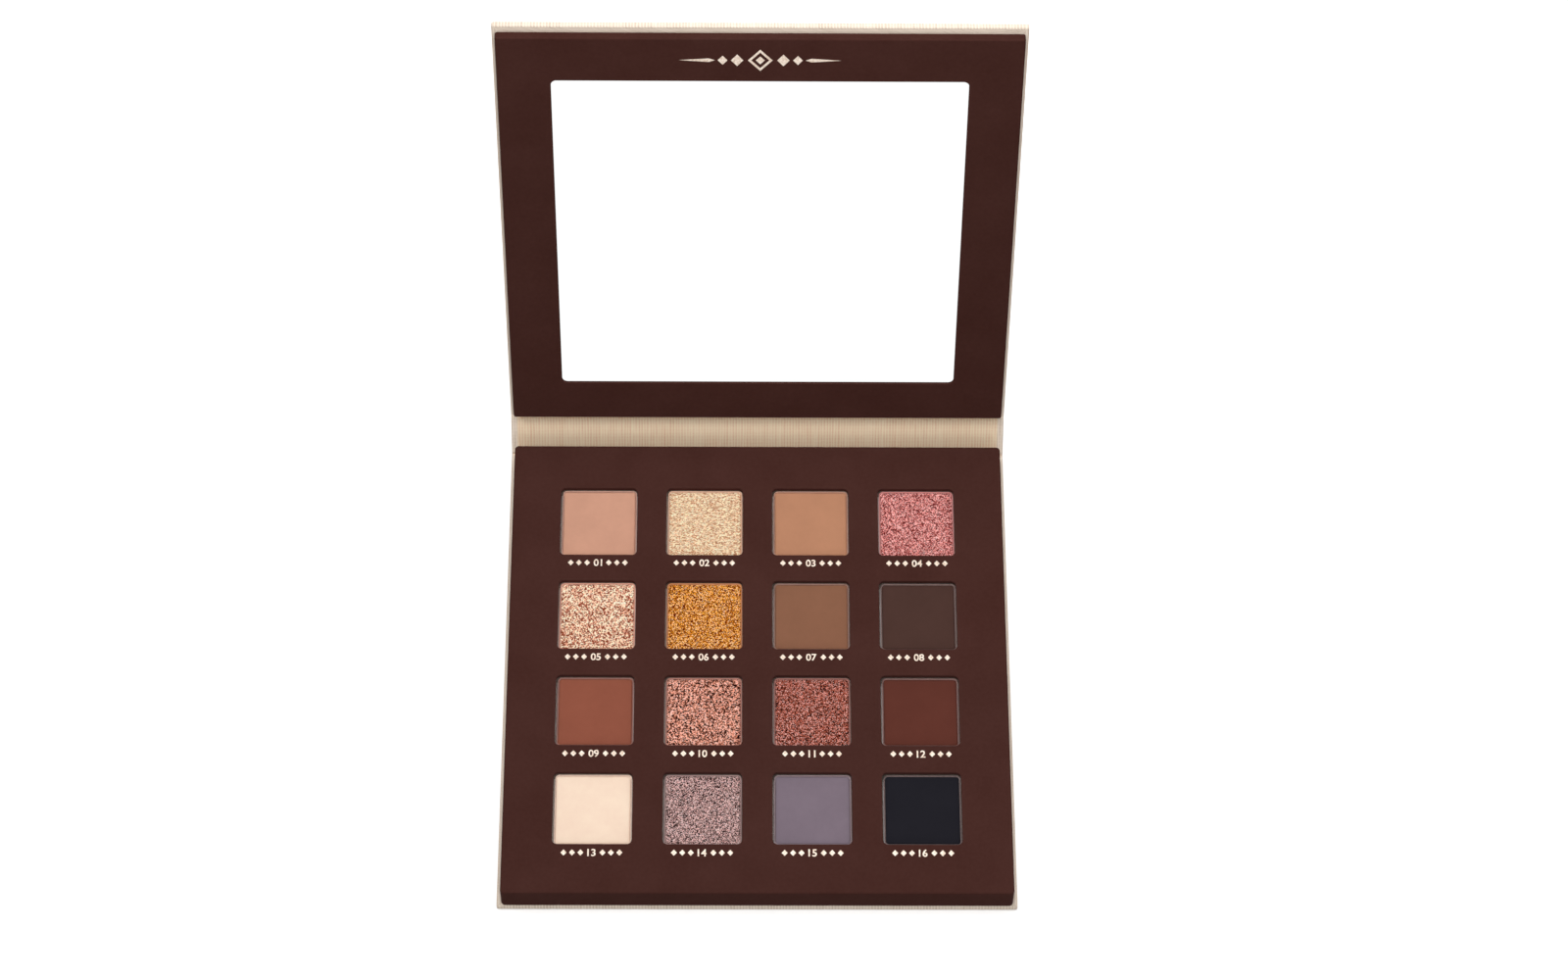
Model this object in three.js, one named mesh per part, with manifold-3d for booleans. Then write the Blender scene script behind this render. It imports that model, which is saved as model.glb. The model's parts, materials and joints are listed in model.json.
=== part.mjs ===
// A book-style eyeshadow palette, in millimetres, +Z up, shown open.
//
// A linen-paper cover of three stiff panels (base, spine and lid) is joined by two paper folds.
// A dark card tray with sixteen square pans is glued to the base panel, and a dark frame holds
// a mirror on the lid panel. Two magnets in the tray meet two steel discs in the lid.
//
// The origin is the centre of the base's underside. +X runs to the right of the person who
// uses the palette, and +Y runs from the front edge to the spine.

import * as THREE from 'three';
import { mergeVertices } from 'three/addons/utils/BufferGeometryUtils.js';
import Module from 'manifold-3d';

const wasm = await Module();
wasm.setup();

// Driving dimensions: the paper cover.
const coverWidth = 129.6; // across, along X
const coverDepth = 129.4; // of the base panel and of the lid panel, front edge to fold
const paper = 0.2; // thickness of the linen paper
const glueLine = 0.1; // gap between two pieces that are glued together
const boardThickness = 1.2;
const turnIn = 12; // how far the paper is folded over on to a panel's inner face
const foldGap = 1.1; // from a fold's axis to the end of each panel that it joins
const foldClearance = 0.25; // between the folded paper and the ends of the panels
const linerWidth = 126.3; // of the strip that lines the spine

// Driving dimensions: the tray.
const trayWidth = 127.2;
const trayDepth = 127.9;
const trayTop = 9.2; // height of the deck above the underside of the base
const trayFrontOverhang = 0.4; // how far the base panel stands out in front of the tray
const trayCornerRadius = 1;
const wallThickness = 1.6;
const deckThickness = 1.2;
const insideClearance = 0.3; // round the grid and the foam bed inside the walls

// Driving dimensions: the pans, in four rows and four columns.
const rows = 4;
const columns = 4;
const windowSize = 19.84;
const windowRadius = 1.3;
const columnPitch = 27.46;
const rowPitch = 27.33;
const lastRowFromBack = 22.68; // centre of the row nearest the spine, from the tray's back edge
const panSize = 19.3;
const panRadius = 1.1; // of its outer corners
const panHeight = 4;
const panMetal = 0.35;
const panSlip = 0.13; // how far a pan lies off its window's centre, to the right and the front
const cellSize = 20.2; // of the grid's opening round each pan
const rimBelowDeck = 0.8;
const powderBelowRim = 0.15;
const bedThickness = 2.3;

// Driving dimensions: the lid.
const frameWidth = 127.9;
const frameLength = 127;
const frameThickness = 2.2;
const frameCornerRadius = 0.6;
const frameFromFold = 1.6; // from the lid fold's axis to the frame's nearest edge
const frameSideMargin = 13.1;
const frameFoldMargin = 12.6;
const frameFarMargin = 13.2;
const mirrorThickness = 1.5;
const mirrorLap = 2.5; // how far the mirror runs under the frame's edge
const adhesiveThickness = 0.2;
const adhesiveInset = 1.5; // from the window's edge
const mirrorClearance = 0.3;

// Driving dimensions: the closure.
const magnetRadius = 4;
const magnetThickness = 2.1;
const discThickness = 0.5;
const pocketClearance = 0.3;
const magnetSpread = 38; // of each magnet, from the centre line
const closedGap = 0.3; // between the deck and the frame when the palette is shut

// Driving dimensions: how far the palette stands open.
const spineLeanBack = 34.7; // degrees, from upright
const lidLeanBack = 15.2; // degrees, from upright

// Worked out from them.
const panelThickness = boardThickness + 2 * (paper + glueLine);
const panelHalf = panelThickness / 2;
const coverFront = -coverWidth / 2;
const coverBack = coverFront + coverDepth;
const baseFold = new THREE.Vector2(coverBack + foldGap, panelHalf); // its axis, in Y and Z
const frameBottom = panelHalf + glueLine;
const frameTop = frameBottom + frameThickness;
const spineLength = trayTop + closedGap + frameTop - baseFold.y; // from axis to axis
const trayFront = coverFront + trayFrontOverhang;
const trayBack = trayFront + trayDepth;
const trayBottom = panelThickness + glueLine;
const trayMiddle = (trayFront + trayBack) / 2;
const deckUnderside = trayTop - deckThickness;
const panTop = trayTop - rimBelowDeck;
const panBottom = panTop - panHeight;
const bedTop = panBottom - glueLine;
const magnetFromFold = frameFromFold + frameLength - frameFarMargin / 2;
const mirrorWindowWidth = frameWidth - 2 * frameSideMargin;
const mirrorWindowLength = frameLength - frameFoldMargin - frameFarMargin;
const mirrorMiddle = frameFromFold + frameFoldMargin + mirrorWindowLength / 2;
const mirrorBottom = frameBottom + adhesiveThickness + glueLine;
const mirrorTop = mirrorBottom + mirrorThickness;

const degrees = Math.PI / 180;
const cornerSegments = 3;
const through = 1; // how far a cutting tool runs past the face that it cuts

// Materials, each with the colour of the real surface.
function material(colour, roughness, metalness = 0) {
  return new THREE.MeshStandardMaterial({ color: colour, roughness, metalness });
}

const linenPaper = material(0xcbb094, 0.85);
const greyBoard = material(0x9a938a, 0.9);
const brownCard = material(0x482b26, 0.55);
const whiteFoam = material(0xe8e6e1, 0.9);
const tinplate = material(0xd9d0cc, 0.3, 0.9);
const magnetMetal = material(0x8e9094, 0.3, 0.9);
const mirrorGlass = material(0xf4f6f7, 0.03, 1);
const tape = material(0xf2f0ea, 0.7);

const powderColours = [
  [0xce9a82, 0xe8c09e, 0xba8567, 0xc77975],
  [0xdea98f, 0xcc8446, 0x8b604a, 0x4d3630],
  [0x915442, 0xb87e6d, 0x965b4f, 0x60342b],
  [0xfddfc8, 0x9e807d, 0x7f717c, 0x222127],
];

// Geometry helpers.
function solid(geometry) {
  const bare = geometry.clone();
  bare.deleteAttribute('normal');
  bare.deleteAttribute('uv');
  const merged = mergeVertices(bare, 1e-4);
  return new wasm.Manifold(new wasm.Mesh({
    numProp: 3,
    vertProperties: new Float32Array(merged.attributes.position.array),
    triVerts: new Uint32Array(merged.index.array),
  }));
}

function surface(manifold) {
  const mesh = manifold.getMesh();
  const geometry = new THREE.BufferGeometry();
  geometry.setAttribute('position', new THREE.BufferAttribute(mesh.vertProperties, 3));
  geometry.setIndex(new THREE.BufferAttribute(mesh.triVerts, 1));
  geometry.computeVertexNormals();
  return geometry;
}

function cut(body, ...tools) {
  return surface(tools.reduce((left, tool) => left.subtract(solid(tool)), solid(body)));
}

function slab([x0, x1], [y0, y1], [z0, z1]) {
  const box = new THREE.BoxGeometry(x1 - x0, y1 - y0, z1 - z0);
  return box.translate((x0 + x1) / 2, (y0 + y1) / 2, (z0 + z1) / 2);
}

function across(width) {
  return [-width / 2, width / 2];
}

// A rounded rectangle, as a Shape or, for a hole, as a Path.
function roundedRectangle(Kind, centreX, centreY, width, height, radius) {
  const left = centreX - width / 2;
  const right = centreX + width / 2;
  const bottom = centreY - height / 2;
  const top = centreY + height / 2;
  const outline = new Kind();
  outline.moveTo(left + radius, bottom);
  outline.lineTo(right - radius, bottom);
  outline.absarc(right - radius, bottom + radius, radius, -Math.PI / 2, 0);
  outline.lineTo(right, top - radius);
  outline.absarc(right - radius, top - radius, radius, 0, Math.PI / 2);
  outline.lineTo(left + radius, top);
  outline.absarc(left + radius, top - radius, radius, Math.PI / 2, Math.PI);
  outline.lineTo(left, bottom + radius);
  outline.absarc(left + radius, bottom + radius, radius, Math.PI, 1.5 * Math.PI);
  outline.closePath();
  return outline;
}

function prism(shape, [z0, z1]) {
  const options = { depth: z1 - z0, bevelEnabled: false, curveSegments: cornerSegments };
  return new THREE.ExtrudeGeometry(shape, options).translate(0, 0, z0);
}

function roundedBlock(centreX, centreY, width, height, radius, heights) {
  const shape = roundedRectangle(THREE.Shape, centreX, centreY, width, height, radius);
  return prism(shape, heights);
}

function disc(x, y, radius, [z0, z1]) {
  const cylinder = new THREE.CylinderGeometry(radius, radius, z1 - z0, 24);
  return cylinder.rotateX(Math.PI / 2).translate(x, y, (z0 + z1) / 2);
}

function addPart(group, name, geometry, partMaterial) {
  const mesh = new THREE.Mesh(geometry, partMaterial);
  mesh.name = name;
  group.add(mesh);
}

// The centre of each window, row by row from the spine, with its pan's number and colour.
function windowPlaces() {
  const places = [];
  for (let row = 0; row < rows; row += 1) {
    for (let column = 0; column < columns; column += 1) {
      places.push({
        x: (column - (columns - 1) / 2) * columnPitch,
        y: trayBack - lastRowFromBack - row * rowPitch,
        number: String(row * columns + column + 1).padStart(2, '0'),
        colour: powderColours[row][column],
      });
    }
  }
  return places;
}

// A stiff panel wrapped in paper lies flat, with its fold end at y = 0 and its outer face
// down. The paper covers the outer face, turns up over the far edge and both sides, and
// ends on the inner face. It runs on past the fold end, so it is open there.
function panelPaper([y0, y1], openAtFarEnd) {
  const [z0, z1] = [-panelHalf, panelHalf];
  const farInside = openAtFarEnd ? y1 + through : y1 - paper;
  const farTurnIn = openAtFarEnd ? y1 + through : y1 - turnIn;
  const hollow = slab(
    across(coverWidth - 2 * paper),
    [y0 - through, farInside],
    [z0 + paper, z1 - paper],
  );
  const innerOpening = slab(
    across(coverWidth - 2 * turnIn),
    [y0 - through, farTurnIn],
    [0, z1 + through],
  );
  return cut(slab(across(coverWidth), [y0, y1], [z0, z1]), hollow, innerOpening);
}

function panelBoard([y0, y1], openAtFarEnd) {
  const inset = paper + glueLine;
  return slab(
    across(coverWidth - 2 * inset),
    [y0, openAtFarEnd ? y1 : y1 - inset],
    [-boardThickness / 2, boardThickness / 2],
  );
}

// The doubled paper at a fold is an arc about the fold's axis, open towards the inside.
function foldPaper() {
  const outer = foldGap - foldClearance;
  const inner = outer - 2 * paper;
  const [from, to] = [190 * degrees, 390 * degrees];
  const section = new THREE.Shape();
  section.absarc(0, 0, outer, from, to, false);
  section.absarc(0, 0, inner, to, from, true);
  section.closePath();
  const length = coverWidth - 2 * (paper + glueLine);
  const options = { depth: length, bevelEnabled: false, curveSegments: 10 };
  const strip = new THREE.ExtrudeGeometry(section, options).translate(0, 0, -length / 2);
  // The section's own X and Y become the palette's Y and Z.
  strip.applyMatrix4(new THREE.Matrix4().makeBasis(
    new THREE.Vector3(0, 1, 0),
    new THREE.Vector3(0, 0, 1),
    new THREE.Vector3(1, 0, 0),
  ));
  return strip;
}

// The cover's base panel, turned round so that its fold end is at the back.
function buildBasePanel(group) {
  const panel = new THREE.Group();
  panel.position.set(0, baseFold.x, baseFold.y);
  const reach = [foldGap, foldGap + coverDepth];
  const paperShell = panelPaper(reach, false);
  const board = panelBoard(reach, false);
  // Half a turn about Z swaps both X and Y and keeps the outer face down.
  addPart(panel, 'base_wrap', paperShell.rotateZ(Math.PI), linenPaper);
  addPart(panel, 'base_board', board.rotateZ(Math.PI), greyBoard);
  addPart(panel, 'base_fold', foldPaper(), linenPaper);
  group.add(panel);
}

// A deck with a window over each pan, on four walls. It is open underneath.
function trayShell() {
  const outline = roundedRectangle(
    THREE.Shape, 0, trayMiddle, trayWidth, trayDepth, trayCornerRadius,
  );
  for (const { x, y } of windowPlaces()) {
    outline.holes.push(
      roundedRectangle(THREE.Path, x, y, windowSize, windowSize, windowRadius),
    );
  }
  const hollow = slab(
    across(trayWidth - 2 * wallThickness),
    [trayFront + wallThickness, trayBack - wallThickness],
    [trayBottom - through, deckUnderside],
  );
  return cut(prism(outline, [trayBottom, trayTop]), hollow);
}

// Under the deck, a grid keeps each pan in its place and holds the two magnets.
function insertGrid() {
  const heights = [bedTop + 2 * glueLine, deckUnderside - glueLine];
  const open = [heights[0] - through, heights[1] + through];
  const half = cellSize / 2;
  const cells = windowPlaces().map(({ x, y }) => (
    slab([x - half, x + half], [y - half, y + half], open)
  ));
  const pocketHeights = [heights[1] - magnetThickness - 2 * glueLine, heights[1] + through];
  const pockets = [-1, 1].map((side) => (
    disc(side * magnetSpread, magnetPlace(), magnetRadius + pocketClearance, pocketHeights)
  ));
  return cut(insideTray(heights), ...cells, ...pockets);
}

// A sheet that fills the tray between its walls.
function insideTray(heights) {
  const inset = wallThickness + insideClearance;
  return slab(across(trayWidth - 2 * inset), [trayFront + inset, trayBack - inset], heights);
}

// The magnets lie under the discs of the shut lid.
function magnetPlace() {
  return baseFold.x - magnetFromFold;
}

function pan(x, y) {
  const inside = panSize - 2 * panMetal;
  return cut(
    roundedBlock(x, y, panSize, panSize, panRadius, [panBottom, panTop]),
    roundedBlock(
      x, y, inside, inside, panRadius - panMetal, [panBottom + panMetal, panTop + through],
    ),
  );
}

function powder(x, y) {
  const size = panSize - 2 * (panMetal + glueLine);
  const heights = [panBottom + panMetal + glueLine, panTop - powderBelowRim];
  return roundedBlock(x, y, size, size, panRadius - panMetal - glueLine, heights);
}

function buildTray(group) {
  addPart(group, 'tray_shell', trayShell(), brownCard);
  addPart(group, 'insert_grid', insertGrid(), greyBoard);

  addPart(group, 'pan_bed', insideTray([bedTop - bedThickness, bedTop]), whiteFoam);

  for (const { x, y, number, colour } of windowPlaces()) {
    const [panX, panY] = [x + panSlip, y - panSlip];
    addPart(group, `pan_${number}`, pan(panX, panY), tinplate);
    addPart(group, `powder_${number}`, powder(panX, panY), material(colour, 0.8));
  }

  const magnetTop = deckUnderside - 2 * glueLine;
  for (const [name, side] of [['tray_magnet_left', -1], ['tray_magnet_right', 1]]) {
    const magnet = disc(
      side * magnetSpread, magnetPlace(), magnetRadius, [magnetTop - magnetThickness, magnetTop],
    );
    addPart(group, name, magnet, magnetMetal);
  }
}

// The spine group's Y runs up the spine from the base fold's axis, and its Z points inside.
function buildSpine(group) {
  const reach = [foldGap, spineLength - foldGap];
  addPart(group, 'spine_wrap', panelPaper(reach, true), linenPaper);
  addPart(group, 'spine_board', panelBoard(reach, true), greyBoard);

  const liner = slab(across(linerWidth), reach, [frameBottom, frameBottom + paper]);
  addPart(group, 'spine_liner', liner, linenPaper);

  const fold = foldPaper();
  addPart(group, 'lid_fold', fold.translate(0, spineLength, 0), linenPaper);
}

// The frame round the mirror has a step behind its window that the mirror lies in, and two
// pockets for the closure discs.
function lidFrame() {
  const middle = frameFromFold + frameLength / 2;
  const outline = roundedRectangle(
    THREE.Shape, 0, middle, frameWidth, frameLength, frameCornerRadius,
  );
  outline.holes.push(roundedRectangle(
    THREE.Path, 0, mirrorMiddle, mirrorWindowWidth, mirrorWindowLength, windowRadius,
  ));
  const step = behindWindow(mirrorLap + mirrorClearance, [
    frameBottom - through,
    mirrorTop + glueLine,
  ]);
  const pocketHeights = [frameBottom - through, frameBottom + discThickness + glueLine];
  const pockets = [-1, 1].map((side) => (
    disc(side * magnetSpread, magnetFromFold, magnetRadius + pocketClearance, pocketHeights)
  ));
  return cut(prism(outline, [frameBottom, frameTop]), step, ...pockets);
}

// A sheet behind the mirror's window, larger than the window by lap on every side.
function behindWindow(lap, heights) {
  const half = mirrorWindowLength / 2 + lap;
  return slab(
    across(mirrorWindowWidth + 2 * lap),
    [mirrorMiddle - half, mirrorMiddle + half],
    heights,
  );
}

// The lid group's Y runs up the lid from the lid fold's axis, and its Z points inside.
function buildLid(group) {
  const reach = [foldGap, foldGap + coverDepth];
  addPart(group, 'lid_wrap', panelPaper(reach, false), linenPaper);
  addPart(group, 'lid_board', panelBoard(reach, false), greyBoard);
  addPart(group, 'lid_frame', lidFrame(), brownCard);
  addPart(group, 'mirror', behindWindow(mirrorLap, [mirrorBottom, mirrorTop]), mirrorGlass);

  const adhesive = behindWindow(-adhesiveInset, [frameBottom, frameBottom + adhesiveThickness]);
  addPart(group, 'mirror_adhesive', adhesive, tape);

  for (const [name, side] of [['closure_disc_left', -1], ['closure_disc_right', 1]]) {
    const heights = [frameBottom, frameBottom + discThickness];
    const plate = disc(side * magnetSpread, magnetFromFold, magnetRadius, heights);
    addPart(group, name, plate, magnetMetal);
  }
}

const palette = new THREE.Group();
buildBasePanel(palette);
buildTray(palette);

const spine = new THREE.Group();
spine.position.set(0, baseFold.x, baseFold.y);
spine.rotation.x = (90 - spineLeanBack) * degrees;
buildSpine(spine);
palette.add(spine);

const lid = new THREE.Group();
lid.position.set(0, spineLength, 0);
lid.rotation.x = (spineLeanBack - lidLeanBack) * degrees;
buildLid(lid);
spine.add(lid);

export default palette;
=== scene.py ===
"""The looks of an open, book-style eyeshadow palette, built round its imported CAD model.

A linen-paper cover of three panels and two folds holds a dark card tray with sixteen pans of
pressed powder, and a dark frame with a mirror. Every mesh is worked out in millimetres, in
the axes of the panel that it belongs to, and becomes metres in mesh_of().
"""

import json
import math
from functools import partial

import bmesh
import bpy
import numpy as np
from mathutils import Matrix, Vector, noise
from mathutils.geometry import tessellate_polygon

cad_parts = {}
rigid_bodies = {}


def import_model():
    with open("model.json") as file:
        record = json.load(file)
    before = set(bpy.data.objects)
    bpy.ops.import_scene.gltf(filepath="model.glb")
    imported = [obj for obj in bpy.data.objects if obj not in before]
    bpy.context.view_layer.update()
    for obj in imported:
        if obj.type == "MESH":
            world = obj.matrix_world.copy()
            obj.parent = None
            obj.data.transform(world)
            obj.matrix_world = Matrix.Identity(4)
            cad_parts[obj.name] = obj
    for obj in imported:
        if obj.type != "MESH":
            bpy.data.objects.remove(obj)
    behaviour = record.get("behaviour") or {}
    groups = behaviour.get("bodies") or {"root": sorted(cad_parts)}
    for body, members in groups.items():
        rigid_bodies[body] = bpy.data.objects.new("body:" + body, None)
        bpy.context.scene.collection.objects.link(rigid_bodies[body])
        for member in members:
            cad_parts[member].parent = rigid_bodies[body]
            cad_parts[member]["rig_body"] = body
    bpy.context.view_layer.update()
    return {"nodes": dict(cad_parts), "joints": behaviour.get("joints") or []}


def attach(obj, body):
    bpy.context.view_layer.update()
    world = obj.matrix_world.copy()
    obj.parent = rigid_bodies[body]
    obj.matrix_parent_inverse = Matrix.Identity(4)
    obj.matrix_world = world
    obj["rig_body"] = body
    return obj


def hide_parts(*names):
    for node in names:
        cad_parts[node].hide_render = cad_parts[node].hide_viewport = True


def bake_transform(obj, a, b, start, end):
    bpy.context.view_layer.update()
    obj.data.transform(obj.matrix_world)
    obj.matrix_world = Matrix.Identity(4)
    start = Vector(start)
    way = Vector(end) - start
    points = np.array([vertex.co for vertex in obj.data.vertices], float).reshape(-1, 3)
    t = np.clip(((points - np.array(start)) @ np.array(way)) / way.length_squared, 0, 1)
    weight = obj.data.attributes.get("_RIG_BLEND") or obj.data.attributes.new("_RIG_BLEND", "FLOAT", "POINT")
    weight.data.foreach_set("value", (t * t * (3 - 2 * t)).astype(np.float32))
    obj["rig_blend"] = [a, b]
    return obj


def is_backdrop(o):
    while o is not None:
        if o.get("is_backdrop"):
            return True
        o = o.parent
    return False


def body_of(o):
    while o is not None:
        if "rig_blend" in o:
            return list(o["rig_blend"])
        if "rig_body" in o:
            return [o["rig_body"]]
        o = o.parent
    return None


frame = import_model()
nodes = frame["nodes"]
joints = {joint["name"]: joint for joint in frame["joints"]}

MM = 0.001

# The cover, in millimetres.
PAPER = 0.2
COVER_EDGE_RADIUS = 0.45  # where the paper wraps round the edge of a board
COVER_CORNER_RADIUS = 0.5
WRAP_START = 1  # from the rounded edge to where the paper's section starts, on the outer face
TURN_IN = 12  # how far the paper is folded over on to a panel's inner face
FOLD_GAP = 1.1  # from a fold's axis to the end of each panel that it joins
OUTER_GROOVE = 0.28  # how deep the outside is pressed in at a fold
INNER_GROOVE = 0.5  # how deep the inside is pressed in at a fold
LINING_LIFT = 0.03  # of the lining above the paper that it is glued to
BASE_LINING_REACH = 1.8  # of the lining on the base, from the fold's axis to the tray
LINING_END_GAP = 0.05  # between the lining on the lid and the frame
RIB_PITCH = 0.75  # of the paper's ribs
THREAD_PITCH = 0.4  # of the fainter threads across them

# The tray.
TRAY_CORNER_RADIUS = 1.0
TRAY_EDGE_RADIUS = 0.5
TRAY_WALL = 1.6
DECK = 1.2
WINDOW = 19.84
WINDOW_RADIUS = 1.3
WINDOW_EDGE_RADIUS = 0.12

# The pans and their powder.
PAN_RADIUS = 1.1
PAN_METAL = 0.35
PAN_RIM = 0.32  # width of the rolled rim
PAN_FOOT_BEVEL = 0.25
PAN_FLOOR_BEVEL = 0.3
PAN_SLIP = 0.13  # how far a pan lies off its window's centre, to the right and the front
POWDER_GAP = 0.02
POWDER_GRID = 112  # squares along each side of the pressed surface
POWDER_EDGE_WIDTH = 0.35
POWDER_EDGE_DROP = 0.15
MATTE_DEPTH = 0.02  # of the relief of a matte powder
SMOOTH_LUMP = 4  # size of its lumps
SHIMMER_DARK_FLAKES_AND_PIT_SHADE = 120  # how much darker the darkest flakes are, and the pits, where it is painted shade, at a contrast of 1, on the scale of 0 to 255
PAINTED_GLINT_WHITE = 0.4  # how far its brightest flakes are mixed with white, a painted glint
BLUSH = (1, 0.84, 0.8)  # the tint of its warmer patches
FLAKE_TILT = 0.6  # how far the flakes lean, each its own way

# The lid's frame.
FRAME_CORNER_RADIUS = 0.6
FRAME_EDGE_RADIUS = 0.45
FRAME_SIDE_MARGIN = 13.1
FRAME_FOLD_MARGIN = 12.6
FRAME_FAR_MARGIN = 13.2
MIRROR_WINDOW_RADIUS = 1.4
MIRROR_STEP = 2.8  # how far the hollow for the mirror runs behind the frame's edge
MIRROR_GAP = 0.05  # between the mirror's face and the frame over it
DISC_POCKET_GAP = 0.3
DISC_POCKET_ROOM = 0.1  # over each disc

# The foil print.
FOIL = 0.03
NUMBER_HEIGHT = 2.0
NUMBER_DROP = 2.35  # from a window's edge to the middle of its number
MARKS_BESIDE_NUMBER = 3  # lozenges on each side
MARK_SIZE = (1.5, 1.7)
MARK_PITCH = 2.1
MARK_GAP = 1.7  # from a number's edge to the middle of the first lozenge
ORNAMENT_RING = ((6.0, 6.6), (4.4, 4.8))  # its outer and its inner outline
ORNAMENT_CORE = (2.2, 2.4)
ORNAMENT_SIDES = ((5.6, (3.0, 3.6)), (9.1, (2.4, 2.8)))  # how far out each stands, and its size
ORNAMENT_TAPER = ((11.0, 0), (12.4, 0.55), (19.6, 0), (12.4, -0.55))

# How much the surfaces shine. Real ones are near 1.5, but the white below the horizon would
# then turn their steep faces grey.
FILM_IOR = 1.03  # of the soft-touch film on the card
PAPER_IOR = 1.2
POWDER_IOR = 1.1

# The studio. Places and sizes are in metres.
GROUND_HALF = 2.5
MOTTLE = 300  # millimetres
FLOOR_DEPTH = 0.0001  # below the palette's underside
FLOOR_GLOW = 0.45
FLAG_DEPTH = 0.001
FLAG_GREYS = (0.348, 0.352)
MIRROR_WHITE = 1.05  # of the sky below the horizon, which only shows in reflections
SKY = 0.47  # of the sky above it

# Each lamp's name, its place, the point that it faces, its size and its watts.
LAMPS = (
    ("key", (-0.9, 0.1, 1.35), (0, 0.02, 0.01), 0.5, 5.0),
    ("fill", (0.02, 0.05, 0.44), (0, 0.03, 0.02), 0.25, 0.7),
    ("front", (0.1, -0.9, 0.35), (0, 0, 0.05), 0.5, 1.4),
    ("back", (0.35, 1.15, 0.16), (0, 0.1, 0.06), 0.5, 6.5),
)

# The camera.
LENS = 94.07
SENSOR_WIDTH = 36
CAMERA_PLACE = (-0.00485, -0.479, 0.9375)
CAMERA_TURN = (29.69, -0.632, -0.164)  # degrees about X, Y and Z

# How finely the round shapes are cut.
CORNER_STEPS = 6
EDGE_STEPS = 5
RIM_STEPS = 8


# --- Where the panels are ---


def hinge_axes(joint, degrees):
    """Axes at a joint, turned up by so many degrees from the row frame's Y."""
    turn = Matrix.Rotation(math.radians(degrees), 4, "X")
    return Matrix.Translation(joint["pos_m"]) @ turn


# In a panel's own axes, Y runs away from its fold and Z points to its inner face.
SPINE_ANGLE = -joints["spine_fold"]["range_deg"][0]
LID_ANGLE = SPINE_ANGLE - joints["lid_fold"]["range_deg"][0]
ROW = Matrix.Identity(4)
BASE_PANEL = hinge_axes(joints["spine_fold"], 0) @ Matrix.Rotation(math.pi, 4, "Z")
SPINE_PANEL = hinge_axes(joints["spine_fold"], SPINE_ANGLE)
LID_PANEL = hinge_axes(joints["lid_fold"], LID_ANGLE)


def node_box(name, axes=ROW):
    """A CAD node's lowest and highest corner in the given axes, in millimetres."""
    to_axes = axes.inverted()
    corners = np.array([to_axes @ vertex.co for vertex in nodes[name].data.vertices]) / MM
    return Vector(corners.min(axis=0)), Vector(corners.max(axis=0))


# --- Meshes ---


class Solid:
    """The points and faces of one closed mesh, gathered in millimetres."""

    def __init__(self):
        self.points = []
        self.marks = []  # three numbers for the material at each point
        self.faces = []

    def ring(self, points, marks=None):
        """Adds a row of points and gives back their numbers."""
        first = len(self.points)
        self.points.extend(points)
        self.marks.extend(marks or points)
        return list(range(first, len(self.points)))

    def band(self, ring, next_ring, closed=True):
        count = len(ring)
        for i in range(count if closed else count - 1):
            j = (i + 1) % count
            self.faces.append((ring[i], ring[j], next_ring[j], next_ring[i]))

    def loft(self, rings, closed=True):
        for ring, next_ring in zip(rings, rings[1:]):
            self.band(ring, next_ring, closed)

    def cap(self, ring):
        self.faces.append(tuple(ring))

    def loft_capped(self, rings):
        """A loft that is closed at both ends."""
        self.loft(rings)
        self.cap(rings[0])
        self.cap(rings[-1])

    def fill(self, outline, holes):
        """Flat triangles between an outline and the holes in it."""
        loops = [outline, *holes]
        numbers = [number for loop in loops for number in loop]
        lines = [[Vector(self.points[number]) for number in loop] for loop in loops]
        for triangle in tessellate_polygon(lines):
            self.faces.append(tuple(numbers[i] for i in triangle))


def mesh_of(name, solid):
    """A mesh in metres, its doubled points merged and its faces turned outwards."""
    mesh = bpy.data.meshes.new(name)
    mesh.from_pydata([Vector(point) * MM for point in solid.points], [], solid.faces)
    marks = mesh.attributes.new("marks", "FLOAT_VECTOR", "POINT")
    marks.data.foreach_set("vector", np.array(solid.marks, np.float32).ravel())
    work = bmesh.new()
    work.from_mesh(mesh)
    bmesh.ops.remove_doubles(work, verts=work.verts, dist=1e-7)
    bmesh.ops.recalc_face_normals(work, faces=work.faces)
    work.to_mesh(mesh)
    work.free()
    return mesh


def add_object(name, mesh, axes, material, sharp=40):
    """A visible piece from a mesh in its panel's axes, not yet riding on anything."""
    mesh.polygons.foreach_set("use_smooth", [True] * len(mesh.polygons))
    mesh.set_sharp_from_angle(angle=math.radians(sharp))
    mesh.materials.append(material)
    piece = bpy.data.objects.new(name, mesh)
    piece.matrix_world = axes
    bpy.context.scene.collection.objects.link(piece)
    weighted = piece.modifiers.new("even shading", "WEIGHTED_NORMAL")
    weighted.keep_sharp = True
    return piece


def add_piece(name, solid, axes, material, body, replaces=(), sharp=40):
    """A closed mesh that rides on a body and stands for some CAD nodes."""
    piece = add_object(name, mesh_of(name, solid), axes, material, sharp)
    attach(piece, body)
    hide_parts(*replaces)
    return piece


def rounded_ring(centre, size, radius, height):
    """A rounded rectangle at one height, counter-clockwise."""
    ring = []
    for quarter, (side_x, side_y) in enumerate(((1, -1), (1, 1), (-1, 1), (-1, -1))):
        corner_x = centre[0] + side_x * (size[0] / 2 - radius)
        corner_y = centre[1] + side_y * (size[1] / 2 - radius)
        for step in range(CORNER_STEPS + 1):
            angle = math.radians(90 * (quarter - 1 + step / CORNER_STEPS))
            x = corner_x + radius * math.cos(angle)
            y = corner_y + radius * math.sin(angle)
            ring.append((x, y, height))
    return ring


def inset_ring(centre, size, radius, inset, height):
    """The same, drawn in on every side. A negative inset draws it out."""
    drawn_in = (size[0] - 2 * inset, size[1] - 2 * inset)
    return rounded_ring(centre, drawn_in, max(radius - inset, 0.05), height)


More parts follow.
